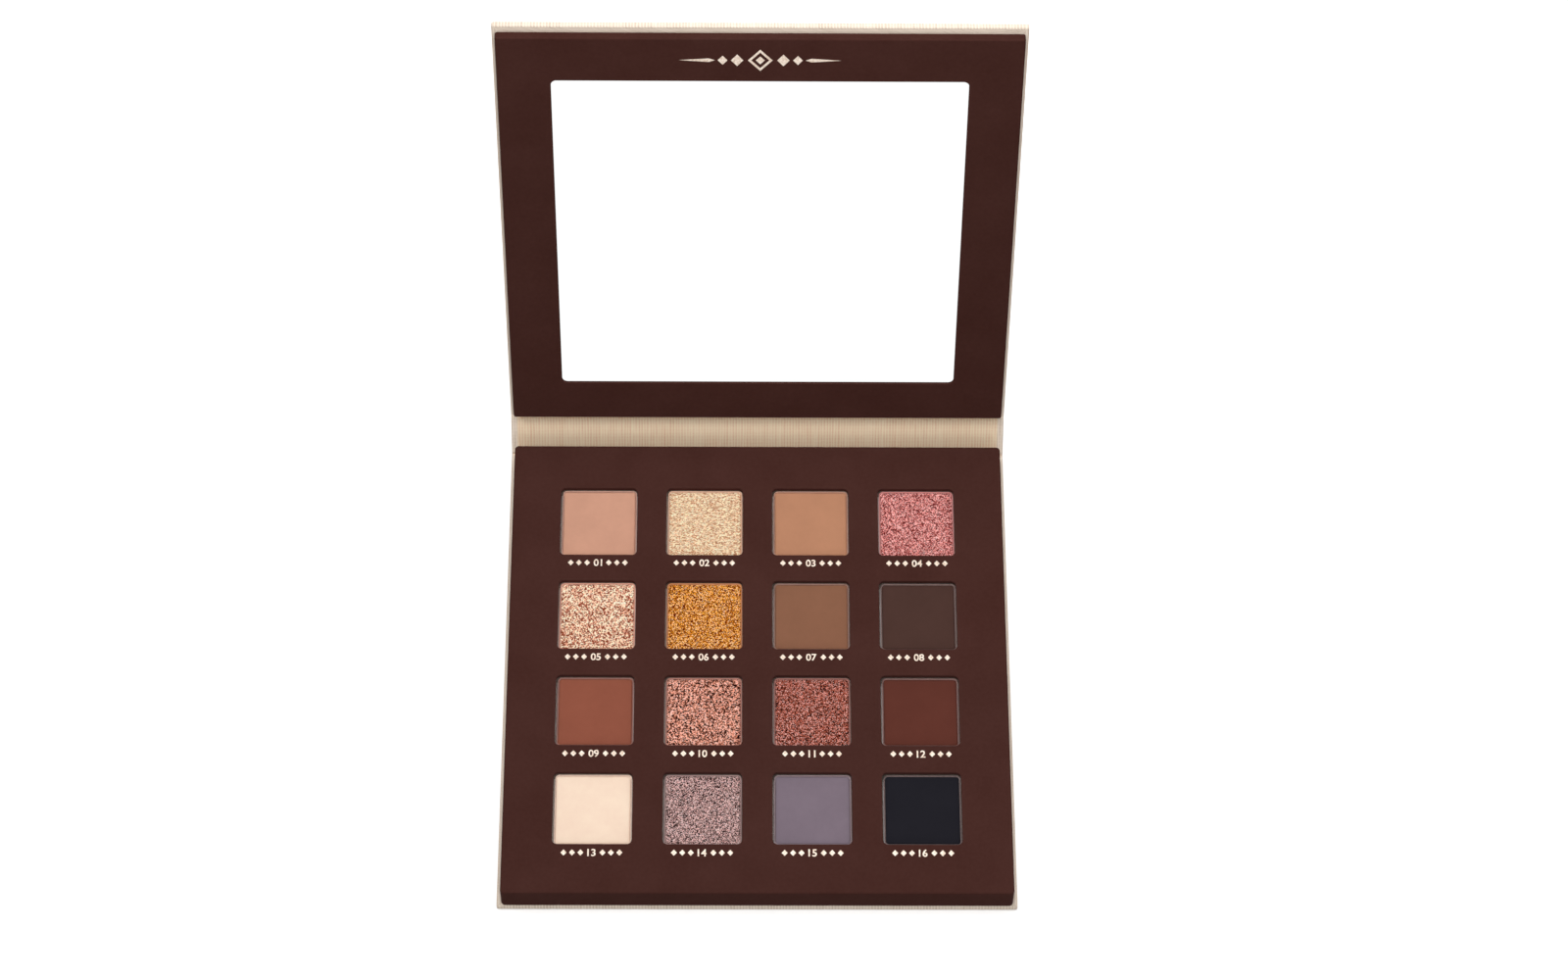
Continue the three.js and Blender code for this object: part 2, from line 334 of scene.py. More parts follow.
def rounded_edge(radius):
    """(inset, drop) down a rounded edge, from the face above it to the wall."""
    edge = []
    for step in range(EDGE_STEPS + 1):
        angle = math.radians(90 * step / EDGE_STEPS)
        edge.append((radius * (1 - math.sin(angle)), radius * (1 - math.cos(angle))))
    return edge


def smooth_step(value):
    value = np.clip(value, 0, 1)
    return value * value * (3 - 2 * value)


def rounded_off(line, rounds=3):
    """A line of points with its inner corners cut off again and again. Its ends stay."""
    line = [Vector(point) for point in line]
    for _ in range(rounds):
        cut = [line[0]]
        for start, end in zip(line, line[1:]):
            cut.append(start.lerp(end, 0.25))
            cut.append(start.lerp(end, 0.75))
        cut.append(line[-1])
        line = cut
    return line


# --- Materials ---


def colour(red, green, blue):
    """A linear colour from its usual numbers, 0 to 255."""
    linear = []
    for value in (red / 255, green / 255, blue / 255):
        linear.append(value / 12.92 if value <= 0.04045 else ((value + 0.055) / 1.055) ** 2.4)
    return (*linear, 1)


def grey(level):
    return (level, level, level, 1)


def shade(base, factor, white=0.0):
    """A linear colour made darker or brighter, and then mixed with a share of white."""
    parts = [min(1, factor * part) for part in base[:3]]
    return (*(part + white * (1 - part) for part in parts), 1)


def set_stops(elements, stops):
    """Gives a colour ramp stops of (value, colour)."""
    while len(elements) < len(stops):
        elements.new(1)
    for element, (position, stop_colour) in zip(elements, stops):
        element.position = position
        element.color = stop_colour


class Look:
    """A procedural material. Each call adds a node and gives back its output."""

    def __init__(self, name):
        self.material = bpy.data.materials.new(name)
        self.material.use_nodes = True
        self.nodes = self.material.node_tree.nodes
        self.links = self.material.node_tree.links

    def feed(self, socket, value):
        """Links an output to an input, or sets the input to a plain value."""
        if isinstance(value, bpy.types.NodeSocket):
            self.links.new(value, socket)
        else:
            socket.default_value = value

    def node(self, kind, inputs, output=0, **settings):
        added = self.nodes.new("ShaderNode" + kind)
        for name, value in settings.items():
            setattr(added, name, value)
        for name, value in inputs.items():
            self.feed(added.inputs[name], value)
        return added.outputs[output]

    def place(self):
        """The point's place on its own object, in millimetres."""
        metres = self.node("TexCoord", {}, "Object")
        return self.stretch(metres, (1 / MM, 1 / MM, 1 / MM))

    def marks(self):
        """The three numbers that the mesh holds for its material at each point."""
        return self.node("Attribute", {}, "Vector", attribute_name="marks")

    def stretch(self, vector, factors):
        return self.vector_math("MULTIPLY", vector, factors)

    def split(self, vector):
        added = self.node("SeparateXYZ", {0: vector}).node
        return tuple(added.outputs)

    def noise(self, vector, size, detail=2.0, roughness=0.5):
        """Noise from 0 to 1 with lumps of about the given size in millimetres."""
        inputs = {"Vector": vector, "Scale": 1 / size, "Detail": detail, "Roughness": roughness}
        return self.node("TexNoise", inputs, "Fac")

    def cells(self, vector, size, output="Color"):
        return self.node("TexVoronoi", {"Vector": vector, "Scale": 1 / size}, output)

    def math(self, operation, *values):
        return self.node("Math", dict(enumerate(values)), operation=operation)

    def vector_math(self, operation, *values):
        return self.node("VectorMath", dict(enumerate(values)), operation=operation)

    def total(self, *shares):
        """The sum of some values, each times its share."""
        total = 0.0
        for value, share in shares:
            total = self.math("MULTIPLY_ADD", value, share, total)
        return total

    def waves(self, along, pitch, drift, swing):
        """A sine wave along a line, which strays by so many radians where drift is 1."""
        return self.math("SINE", self.total((along, 2 * math.pi / pitch), (drift, swing)))

    def blend(self, share, first, second):
        """A mix of two colours. Share is how much there is of the second."""
        added = self.nodes.new("ShaderNodeMix")
        added.data_type = "RGBA"
        for name, value in (("Factor", share), ("A", first), ("B", second)):
            self.feed(next(s for s in added.inputs if s.name == name and s.enabled), value)
        return next(s for s in added.outputs if s.enabled)

    def ramp(self, value, stops):
        """A colour for each value between stops of (value, colour)."""
        output = self.node("ValToRGB", {"Fac": value}, "Color")
        set_stops(output.node.color_ramp.elements, stops)
        return output

    def spread(self, value, low, high):
        """Turns 0 to 1 into low to high."""
        return self.node("MapRange", {"Value": value, "To Min": low, "To Max": high})

    def bump(self, height, depth, normal=None):
        """Normals of a height from 0 to 1 that is depth millimetres deep."""
        inputs = {"Height": height, "Distance": depth * MM}
        if normal is not None:
            inputs["Normal"] = normal
        return self.node("Bump", inputs, "Normal")

    def surface(self, **inputs):
        """Sets the shader's inputs, with _ for each space in their names, and ends the look."""
        shader = self.nodes["Principled BSDF"]
        for name, value in inputs.items():
            self.feed(shader.inputs[name.replace("_", " ")], value)
        return self.material


def linen_paper(name, dark, light):
    """Ribbed book-cover paper: ribs across the palette's width, and a faint cross thread.

    The mesh's marks are the point's place on the unfolded sheet, in millimetres.
    """
    look = Look(name)
    unfolded = look.marks()
    across, along, _ = look.split(unfolded)
    drift = look.noise(look.stretch(unfolded, (1, 0.12, 1)), 1.1)
    ribs = look.spread(look.waves(across, RIB_PITCH, drift, 3.2), 0.25, 0.75)
    threads = look.waves(along, THREAD_PITCH, look.noise(unfolded, 0.9), 4.0)
    slubs = look.noise(look.stretch(unfolded, (1, 0.05, 1)), 0.32, 3.0)
    height = look.total((ribs, 1), (threads, 0.16), (slubs, 0.7))
    bands = look.noise(look.stretch(unfolded, (1, 0.03, 1)), 1.8, 3.0)
    clouds = look.noise(unfolded, 9, 3.0)
    # The tone follows the ribs' and threads' height, so the grooves between them are painted darker, a
    # painted shade; the bands and clouds are the paper's own uneven colour.
    tone = look.total((height, 0.62), (bands, 0.2), (clouds, 0.2))
    tint = look.ramp(tone, [(0.34, dark), (0.74, light)])
    fibres = look.noise(unfolded, 0.07, 2.0)
    normal = look.bump(fibres, 0.004, look.bump(height, 0.05))
    return look.surface(
        Base_Color=tint,
        Roughness=look.spread(fibres, 0.6, 0.78),
        IOR=PAPER_IOR,
        Normal=normal,
    )


def brown_card(name, deep, bright):
    """Card with a soft-touch film: nearly even, with a faint mottle and a fine grain."""
    look = Look(name)
    place = look.place()
    clouds = look.noise(place, 14, 3.0)
    mottle = look.noise(place, 0.9, 3.0)
    grain = look.noise(place, 0.11, 2.0)
    tone = look.total((clouds, 0.6), (mottle, 0.4))
    return look.surface(
        Base_Color=look.ramp(tone, [(0.3, deep), (0.7, bright)]),
        Roughness=look.spread(grain, 0.4, 0.52),
        IOR=FILM_IOR,
        Normal=look.bump(grain, 0.003, look.bump(mottle, 0.006)),
    )


def grey_board(name):
    """Pressed waste-paper board, seen at its cut edges."""
    look = Look(name)
    place = look.place()
    fibres = look.noise(look.stretch(place, (0.25, 0.25, 2.2)), 0.3, 4.0)
    flecks = look.noise(place, 0.5, 4.0, 0.7)
    tone = look.total((fibres, 0.5), (flecks, 0.5))
    return look.surface(
        Base_Color=look.ramp(tone, [(0.3, colour(112, 104, 95)), (0.7, colour(170, 163, 153))]),
        Roughness=0.9,
        Normal=look.bump(tone, 0.05),
    )


def foam(name):
    """Fine white foam sheet."""
    look = Look(name)
    bubbles = look.cells(look.place(), 0.35, "Distance")
    return look.surface(
        Base_Color=look.ramp(bubbles, [(0.1, colour(214, 211, 204)), (0.6, colour(238, 236, 230))]),
        Roughness=0.92,
        Normal=look.bump(bubbles, 0.06),
    )


def metal(name, tint, grain_size, low, high):
    """Sheet metal with a faint rolled grain along X."""
    look = Look(name)
    place = look.place()
    grain = look.noise(look.stretch(place, (0.08, 1, 1)), grain_size, 3.0)
    stains = look.noise(place, 3.5, 2.0)
    return look.surface(
        Base_Color=look.blend(stains, tint, shade(tint, 0.82)),
        Metallic=1.0,
        Roughness=look.spread(grain, low, high),
        Normal=look.bump(grain, 0.003),
    )


def dusty_tin(name, tint):
    """Tinplate that has taken some of the powder's colour, which is in the mesh's marks."""
    look = Look(name)
    place = look.place()
    grain = look.noise(look.stretch(place, (0.08, 1, 1)), 0.2, 3.0)
    dust = look.noise(place, 0.8, 4.0, 0.6)
    return look.surface(
        Base_Color=look.blend(look.spread(dust, 0.3, 0.75), tint, look.marks()),
        Metallic=look.spread(dust, 0.9, 0.3),
        Roughness=look.spread(grain, 0.35, 0.55),
        IOR=POWDER_IOR,
        Normal=look.bump(grain, 0.003),
    )


def mirror_glass(name):
    """Silvered glass with the faintest smears."""
    look = Look(name)
    place = look.place()
    smears = look.noise(look.stretch(place, (1, 0.4, 1)), 18, 4.0)
    return look.surface(
        Base_Color=look.ramp(
            smears, [(0.3, (0.955, 0.97, 0.965, 1)), (0.7, (0.985, 0.99, 0.99, 1))]
        ),
        Metallic=1.0,
        Roughness=look.spread(smears, 0.0, 0.025),
    )


def tape(name):
    """Double-sided tape with a creped surface."""
    look = Look(name)
    creases = look.noise(look.stretch(look.place(), (0.3, 1, 1)), 0.6, 3.0)
    return look.surface(
        Base_Color=look.ramp(creases, [(0.3, colour(225, 221, 210)), (0.7, colour(244, 241, 233))]),
        Roughness=0.7,
        Normal=look.bump(creases, 0.02),
    )


def foil(name, deep, bright):
    """Hot-stamped foil that has taken a little of the card's grain."""
    look = Look(name)
    place = look.place()
    wear = look.noise(place, 0.5, 4.0, 0.65)
    return look.surface(
        Base_Color=look.ramp(wear, [(0.3, deep), (0.6, bright)]),
        Metallic=0.25,
        Roughness=look.spread(wear, 0.5, 0.32),
        Normal=look.bump(wear, 0.004),
    )


def matte_powder(name, middle):
    """Finely milled, pressed powder."""
    look = Look(name)
    place = look.place()
    grain = look.noise(place, 0.09, 3.0, 0.6)
    patches = look.noise(place, 1.6, 4.0)
    clouds = look.noise(place, 7, 2.0)
    tone = look.total((grain, 0.4), (patches, 0.2), (clouds, 0.4))
    return look.surface(
        Base_Color=look.ramp(tone, [(0.34, shade(middle, 0.93)), (0.66, shade(middle, 1.06))]),
        Roughness=0.9,
        IOR=POWDER_IOR,
        Normal=look.bump(grain, 0.012, look.bump(patches, 0.012)),
    )


def glitter_powder(name, mean, contrast, flake, patchy, stretch):
    """Pressed powder full of flakes that each have a tone and a tilt of their own.

    The third of the mesh's marks is 0 in the deepest pits and 1 on the highest lumps, and the colour follows
    it: the pits are painted darker, a painted shade, and the lumps lighter, a painted highlight.
    """
    deep = colour(*(max(part - SHIMMER_DARK_FLAKES_AND_PIT_SHADE * contrast, 0) for part in mean))
    middle = colour(*mean)
    look = Look(name)
    place = look.stretch(look.place(), stretch)
    height = look.split(look.marks())[2]
    flakes = look.cells(place, flake)
    flake_tone, flake_turn, _ = look.split(flakes)
    specks = look.noise(place, 0.9 * flake, 1.0, 0.5)
    patches = look.noise(place, 3.2, 3.0, 0.6)
    # The relief's height in the tone paints shade in the pits and highlight on the lumps; the flakes, specks
    # and patches are the powder's own uneven colour.
    shares = ((height, 0.8), (flake_tone, 1.15), (specks, 1.5), (patches, patchy))
    centred = [(look.math("SUBTRACT", source, 0.5), share) for source, share in shares]
    tone = look.math("ADD", look.total(*centred), 0.5)
    # The lowest stop is partly the flakes' own darker colour and partly painted shade; the upper stops are
    # partly brighter flakes and partly painted sparkle, and the top one is a painted glint.
    tint = look.ramp(tone, [
        (0.25, deep),
        (0.5, middle),
        (0.75, shade(middle, 1 + contrast)),
        (1, shade(middle, 1 + contrast, PAINTED_GLINT_WHITE)),
    ])
    warmth = look.noise(place, 2.2 * flake, 2.0)
    blush = look.ramp(warmth, [(0.35, grey(1)), (0.65, (*BLUSH, 1))])
    straight = look.node("NewGeometry", {}, "Normal")
    tilt = look.vector_math("SUBTRACT", flakes, (0.5, 0.5, 0.5))
    tilt = look.stretch(tilt, [FLAKE_TILT] * 3)
    tilted = look.vector_math("NORMALIZE", look.vector_math("ADD", straight, tilt))
    return look.surface(
        Base_Color=look.vector_math("MULTIPLY", tint, blush),
        Metallic=look.spread(flake_turn, 0.0, 0.2),
        Roughness=look.spread(flake_turn, 0.7, 0.35),
        IOR=POWDER_IOR,
        Normal=look.bump(specks, 0.03, tilted),
    )


# --- The cover ---

base_wrap = node_box("base_wrap", BASE_PANEL)
spine_wrap = node_box("spine_wrap", SPINE_PANEL)
COVER_WIDTH = base_wrap[1].x - base_wrap[0].x
PANEL_HALF = base_wrap[1].z
SPINE_LENGTH = spine_wrap[1].y + FOLD_GAP  # from one fold's axis to the other's
LINER_WIDTH = 2 * node_box("spine_liner", SPINE_PANEL)[1].x

COVER_PAPER = linen_paper("linen paper", colour(204, 182, 161), colour(250, 234, 217))
LINING_PAPER = linen_paper("linen lining", colour(234, 184, 148), colour(255, 233, 201))


def wrap_profile():
    """(inset, height) of paper wrapped round a panel's edge, from the outer face inwards.

    The first half is the paper's outer surface and the second half its inner surface.
    """
    def around(inset, height, radius):
        """Two rounded edges, from the outer face round to the inner face."""
        edge = rounded_edge(radius)
        lower = [(inset + dx, -height + dz) for dx, dz in edge]
        upper = [(inset + dx, height - dz) for dx, dz in reversed(edge)]
        return lower + upper

    outside = around(0, PANEL_HALF, COVER_EDGE_RADIUS)
    inside = around(PAPER, PANEL_HALF - PAPER, COVER_EDGE_RADIUS - PAPER)
    start = COVER_EDGE_RADIUS + WRAP_START
    return (
        [(start, -PANEL_HALF), *outside, (TURN_IN, PANEL_HALF)]
        + [(TURN_IN, PANEL_HALF - PAPER), *reversed(inside), (start, -PANEL_HALF + PAPER)]
    )


def path_lengths(line):
    """The distance along a line to each of its points."""
    lengths = [0.0]
    for start, end in zip(line, line[1:]):
        lengths.append(lengths[-1] + math.dist(start, end))
    return lengths


def panel_outline(near, far, inset):
    """Points round three sides of a panel, from one end of its fold to the other, and the
    direction outwards at each. Past the corner's radius the corner is a mitre."""
    half = COVER_WIDTH / 2
    radius = max(COVER_CORNER_RADIUS - inset, 0)
    reach = max(COVER_CORNER_RADIUS, inset)
    outline = [((half - inset, near), (1, 0))]
    for start, side in ((0, 1), (90, -1)):
        for step in range(CORNER_STEPS + 1):
            angle = math.radians(start + 90 * step / CORNER_STEPS)
            out = (math.cos(angle), math.sin(angle))
            corner = (side * (half - reach), far - reach)
            outline.append(((corner[0] + radius * out[0], corner[1] + radius * out[1]), out))
    outline.append(((-half + inset, near), (-1, 0)))
    return outline


def panel_cover(name, body, axes, near, far, flat_start, flat_sign, replaces):
    """The paper round a stiff panel: the whole outer face, three edges and their turn-ins."""
    solid = Solid()
    profile = wrap_profile()
    lengths = path_lengths(profile)
    start_outline = panel_outline(near, far, profile[0][0])
    rows = []
    for (inset, height), length in zip(profile, lengths):
        points = [(x, y, height) for (x, y), _ in panel_outline(near, far, inset)]
        flat = [
            (x + out_x * length, flat_start + flat_sign * (y + out_y * length), 0)
            for (x, y), (out_x, out_y) in start_outline
        ]
        rows.append(solid.ring(points, flat))
    solid.loft(rows, closed=False)
    solid.cap(rows[0])
    solid.cap(rows[-1])
    for end in (0, -1):
        solid.cap([row[end] for row in rows])
    solid.cap([rows[0][0], rows[-1][0], rows[-1][-1], rows[0][-1]])
    return add_piece(name, solid, axes, COVER_PAPER, body, replaces)


def wrap_section():
    """(x, height) round the paper that wraps a panel open at both folds, and its unfolded x."""
    profile = wrap_profile()
    half = COVER_WIDTH / 2
    right = [(half - inset, height) for inset, height in profile]
    flat_right = [half - profile[0][0] + length for length in path_lengths(profile)]
    outer = len(profile) // 2
    left = [(-x, height) for x, height in right]
    flat_left = [-x for x in flat_right]
    section = left[outer - 1::-1] + right + left[:outer - 1:-1]
    flats = flat_left[outer - 1::-1] + flat_right + flat_left[:outer - 1:-1]
    return section, flats


def spine_cover():
    """The paper round the spine's board: the outer face, both ends and their turn-ins."""
    solid = Solid()
    section, flats = wrap_section()
    rows = []
    for y in (spine_wrap[0].y, spine_wrap[1].y):
        points = [(x, y, height) for x, height in section]
        rows.append(solid.ring(points, [(x, y, 0) for x in flats]))
    solid.loft_capped(rows)
    add_piece(
        "spine_cover", solid, SPINE_PANEL, COVER_PAPER, "spine", ["spine_wrap"]
    )


def turned(axis, degrees, along, height):
    """A point in Y and Z, given along a panel and above its middle plane."""
    angle = math.radians(degrees)
    return Vector((
        axis.x + along * math.cos(angle) - height * math.sin(angle),
        axis.y + along * math.sin(angle) + height * math.cos(angle),
    ))


def fold_line(axis, angles, edge, middle, reaches):
    """A line in Y and Z that leaves one panel at the height edge, passes the fold's axis at
    the height middle and goes on to the other panel. Heights below 0 are outside."""
    first, second = angles
    groove = 0.3 * FOLD_GAP
    rim = 0.9 * FOLD_GAP
    line = [
        turned(axis, first, -reaches[0], edge),
        turned(axis, first, -rim, edge),
        turned(axis, first, -groove, middle),
    ]
    for share in (0.0, 0.25, 0.5, 0.75, 1.0):
        if middle > 0:
            share = 0.5  # the inside of the bend is one sharp crease
        line.append(turned(axis, first + share * (second - first), 0, middle))
    line += [
        turned(axis, second, groove, middle),
        turned(axis, second, rim, edge),
        turned(axis, second, reaches[1], edge),
    ]
    return rounded_off(line)


def flat_along(line, start, reaches):
    """Where the points of a fold's line lie along the unfolded paper."""
    lengths = path_lengths(line)
    share = sum(reaches) / lengths[-1]
    return [start - reaches[0] + length * share for length in lengths]


def add_bent(name, solid, material, axis, angles, bodies):
    """A piece that follows one body up to the fold's gap, and the other from its far side."""
    piece = add_object(name, mesh_of(name, solid), ROW, material, sharp=60)
    ends = [turned(axis, angles[0], -FOLD_GAP, 0), turned(axis, angles[1], FOLD_GAP, 0)]
    start, end = [(0, point.x * MM, point.y * MM) for point in ends]
    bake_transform(piece, *bodies, start=start, end=end)
    return piece


def fold_cover(name, axis, angles, bodies, flat_start, replaces):
    """The cover's paper at a fold: the outer sheet, and its turn-ins at both ends."""
    reaches = (FOLD_GAP, FOLD_GAP)
    outside = fold_line(axis, angles, -PANEL_HALF, OUTER_GROOVE - PANEL_HALF, reaches)
    inside = fold_line(axis, angles, PANEL_HALF, PANEL_HALF - INNER_GROOVE, reaches)
    section, flats = wrap_section()
    solid = Solid()
    rows = []
    for outer, inner, along in zip(outside, inside, flat_along(outside, flat_start, reaches)):
        points = []
        for x, height in section:
            point = outer.lerp(inner, (height / PANEL_HALF + 1) / 2)
            points.append((x, point.x, point.y))
        rows.append(solid.ring(points, [(x, along, 0) for x in flats]))
    solid.loft_capped(rows)
    piece = add_bent(name, solid, COVER_PAPER, axis, angles, bodies)
    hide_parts(replaces)


def fold_lining(name, axis, angles, bodies, flat_start, reaches):
    """The lining's strip over a fold, a closed sheet of paper."""
    edge = PANEL_HALF + LINING_LIFT + PAPER / 2
    line = fold_line(axis, angles, edge, edge - INNER_GROOVE, reaches)
    line = [point for i, point in enumerate(line) if i == 0 or (point - line[i - 1]).length > 1e-4]
    section = []
    for i, point in enumerate(line):
        ahead = line[min(i + 1, len(line) - 1)] - line[max(i - 1, 0)]
        normal = Vector((-ahead.y, ahead.x)).normalized() * PAPER / 2
        section.append((point - normal, point + normal))
    outline = [below for below, _ in section] + [above for _, above in reversed(section)]
    along = flat_along(line, flat_start, reaches)
    flats = along + along[::-1]
    solid = Solid()
    rows = []
    for x in (-LINER_WIDTH / 2, LINER_WIDTH / 2):
        points = [(x, point.x, point.y) for point in outline]
        rows.append(solid.ring(points, [(x, v, 0) for v in flats]))
    solid.loft_capped(rows)
    add_bent(name, solid, LINING_PAPER, axis, angles, bodies)


def spine_lining():
    """The strip that lines the spine between the two folds."""
    low, high = spine_wrap[0].y, spine_wrap[1].y
    height = PANEL_HALF + LINING_LIFT
    solid = Solid()
    rings = [
        solid.ring(rounded_ring((0, (low + high) / 2), (LINER_WIDTH, high - low), 0.01, z))
        for z in (height, height + PAPER)
    ]
    solid.loft_capped(rings)
    add_piece(
        "spine_lining", solid, SPINE_PANEL, LINING_PAPER, "spine", ["spine_liner"]
    )


def build_cover():
    panel_cover(
        "base_cover", "base", BASE_PANEL, base_wrap[0].y, base_wrap[1].y, 0, -1, ["base_wrap"]
    )
    lid_wrap = node_box("lid_wrap", LID_PANEL)
    panel_cover(
        "lid_cover", "lid", LID_PANEL, lid_wrap[0].y, lid_wrap[1].y, SPINE_LENGTH, 1, ["lid_wrap"]
    )
    spine_cover()
    spine_lining()
    to_frame = node_box("lid_frame", LID_PANEL)[0].y - LINING_END_GAP
    folds = (
        ("base_fold", "spine_fold", (0, SPINE_ANGLE), ("base", "spine"), 0,
         (BASE_LINING_REACH, FOLD_GAP)),
        ("lid_fold", "lid_fold", (SPINE_ANGLE, LID_ANGLE), ("spine", "lid"), SPINE_LENGTH,
         (FOLD_GAP, to_frame)),
    )
    for node, joint, angles, bodies, flat_start, lining_reaches in folds:
        axis = Vector(joints[joint]["pos_m"][1:]) / MM
        fold_cover(f"{node}_cover", axis, angles, bodies, flat_start, node)
        fold_lining(f"{node}_lining", axis, angles, bodies, flat_start, lining_reaches)


# --- The tray ---

CARD = brown_card("brown card", colour(67, 39, 34), colour(75, 46, 41))


def pan_places():
    """Each pan's number, its middle, and the heights of its bottom and top, from the CAD."""
    places = []
    for name in sorted(nodes):
        if name.startswith("pan_") and name != "pan_bed":
            low, high = node_box(name)
            places.append((name[-2:], (low + high) / 2, low.z, high.z))
    return places


def window_middle(pan_middle):
    """The middle of the window over a pan, which lies a little off it."""
    return pan_middle + Vector((-PAN_SLIP, PAN_SLIP, 0))


def edge_rings(solid, centre, size, radius, top, edge_radius, is_hole):
    """Rings down the rounded edge of a block, or of a hole in it."""
    rings = []
    for inset, drop in rounded_edge(edge_radius):
        drawn_in = -inset if is_hole else inset
        rings.append(solid.ring(inset_ring(centre, size, radius, drawn_in, top - drop)))
    return rings


def build_tray():
    """A deck with a window over each pan, on four walls. It is open underneath."""
    low, high = node_box("tray_shell")
    centre = (low + high) / 2
    size = high - low
    solid = Solid()
    outside = edge_rings(
        solid, centre, size, TRAY_CORNER_RADIUS, high.z, TRAY_EDGE_RADIUS, False
    )
    for inset, height in ((0, low.z), (TRAY_WALL, low.z), (TRAY_WALL, high.z - DECK)):
        ring = inset_ring(centre, size, TRAY_CORNER_RADIUS, inset, height)
        outside.append(solid.ring(ring))
    solid.loft(outside)
    windows = []
    for _, pan_middle, _, _ in pan_places():
        middle = window_middle(pan_middle)
        window = edge_rings(
            solid, middle, (WINDOW, WINDOW), WINDOW_RADIUS, high.z, WINDOW_EDGE_RADIUS, True
        )
        below = inset_ring(middle, (WINDOW, WINDOW), WINDOW_RADIUS, 0, high.z - DECK)
        window.append(solid.ring(below))
        solid.loft(window)
        windows.append(window)
    solid.fill(outside[0], [window[0] for window in windows])
    solid.fill(outside[-1], [window[-1] for window in windows])
    add_piece("tray", solid, ROW, CARD, "base", ["tray_shell"])


# --- The pans and powders ---

TINPLATE = metal("tinplate", colour(176, 150, 142), 0.2, 0.3, 0.48)
DUSTY_TIN = dusty_tin("dusty tinplate", colour(150, 126, 122))


def build_pan(number, middle, bottom, top, powder_colour):
    """A square tin pan with a rolled rim."""
    low, high = node_box(f"pan_{number}")
    size = high - low
    solid = Solid()
    floor = bottom + PAN_METAL
    rim_centre = top - PAN_RIM / 2
    section = [(PAN_FOOT_BEVEL, bottom), (0, bottom + PAN_FOOT_BEVEL)]
    for step in range(RIM_STEPS + 1):
        angle = math.pi * step / RIM_STEPS
        inset = PAN_RIM / 2 * (1 - math.cos(angle))
        section.append((inset, rim_centre + PAN_RIM / 2 * math.sin(angle)))
    section += [(PAN_RIM, floor + PAN_FLOOR_BEVEL), (PAN_RIM + PAN_FLOOR_BEVEL, floor)]
    rings = [
        solid.ring(inset_ring(middle, size, PAN_RADIUS, inset, height))
        for inset, height in section
    ]
    solid.loft_capped(rings)
    solid.marks = [powder_colour[:3]] * len(solid.points)
    add_piece(
        f"tin_pan_{number}", solid, ROW, DUSTY_TIN, "base", [f"pan_{number}"]
    )


def in_rounded_square(u, v, half, radius):
    """Takes points of a square from -1 to 1 to a square with rounded corners."""
    shell = np.maximum(np.abs(u), np.abs(v))
    safe = np.where(shell > 0, shell, 1)
    along = np.minimum(np.abs(u), np.abs(v)) / safe
    straight = 1 - radius / half
    angle = math.pi / 4 * np.clip((along - straight) / (1 - straight), 0, 1)
    in_corner = along > straight
    far = np.where(in_corner, half - radius + radius * np.cos(angle), half) * shell
    near = np.where(in_corner, half - radius + radius * np.sin(angle), along * half) * shell
    flip = np.abs(v) > np.abs(u)
    x = np.sign(u) * np.where(flip, near, far)
    y = np.sign(v) * np.where(flip, far, near)
    return x, y, (1 - shell) * half


def smooth_face(x, y, seed):
    """A smooth pressed face with a slight unevenness, from 0 to 1."""
    return 0.5 + 0.5 * noise.noise(Vector((x / SMOOTH_LUMP, y / SMOOTH_LUMP, seed)))


def grainy_face(x, y, seed, size, stretch):
    """A grainy face: rounded lumps with pits between them, from 0 to 1.

    The pits and the fine grain are moved sideways, so that they don't follow the lumps.
    """
    place = Vector((x * stretch[0], y * stretch[1], seed))
    lumps = noise.noise(place / size)
    pits = noise.noise(place / (2.7 * size) + Vector((7, 3, 1)))
    fine = noise.noise(place / (0.6 * size) + Vector((2, 9, 4)))
    return min(max(0.5 + 0.4 * lumps + 0.2 * min(pits, 0.1) + 0.4 * fine, 0), 1)


def build_powder(number, middle, face, depth, material):
    """The pressed powder in a pan, with its own relief."""
    pan_low, pan_high = node_box(f"pan_{number}")
    powder_low, powder_high = node_box(f"powder_{number}")
    half = (pan_high.x - pan_low.x) / 2 - PAN_RIM - POWDER_GAP
    radius = PAN_RADIUS - PAN_RIM
    steps = np.linspace(-1, 1, POWDER_GRID + 1)
    u, v = np.meshgrid(steps, steps)
    x, y, from_edge = in_rounded_square(u, v, half, radius)
    edge = smooth_step(from_edge / POWDER_EDGE_WIDTH)
    seed = 10 * int(number)
    solid = Solid()
    rows = []
    for i in range(POWDER_GRID + 1):
        row = []
        marks = []
        for j in range(POWDER_GRID + 1):
            relief = face(x[i, j], y[i, j], seed)
            height = powder_high.z + edge[i, j] * depth * (relief - 0.5)
            height -= POWDER_EDGE_DROP * (1 - edge[i, j])
            row.append((middle.x + x[i, j], middle.y + y[i, j], height))
            marks.append((x[i, j], y[i, j], relief))
        rows.append(solid.ring(row, marks))
    solid.loft(rows, closed=False)
    rim = rows[0] + [row[-1] for row in rows[1:]] + rows[-1][-2::-1]
    rim += [row[0] for row in rows[-2:0:-1]]
    foot = solid.ring([(*solid.points[i][:2], powder_low.z) for i in rim])
    solid.band(rim, foot)
    solid.cap(foot)
    add_piece(
        f"pressed_powder_{number}", solid, ROW, material, "base",
        [f"powder_{number}"], sharp=70,
    )


# The mattes, by number: the colour of each.
MATTES = {
    "01": (206, 154, 130),
    "03": (186, 133, 103),
    "07": (139, 96, 74),
    "08": (77, 54, 48),
    "09": (145, 84, 66),
    "12": (96, 52, 43),
    "13": (255, 225, 202),
    "15": (127, 113, 124),
    "16": (34, 33, 39),
}
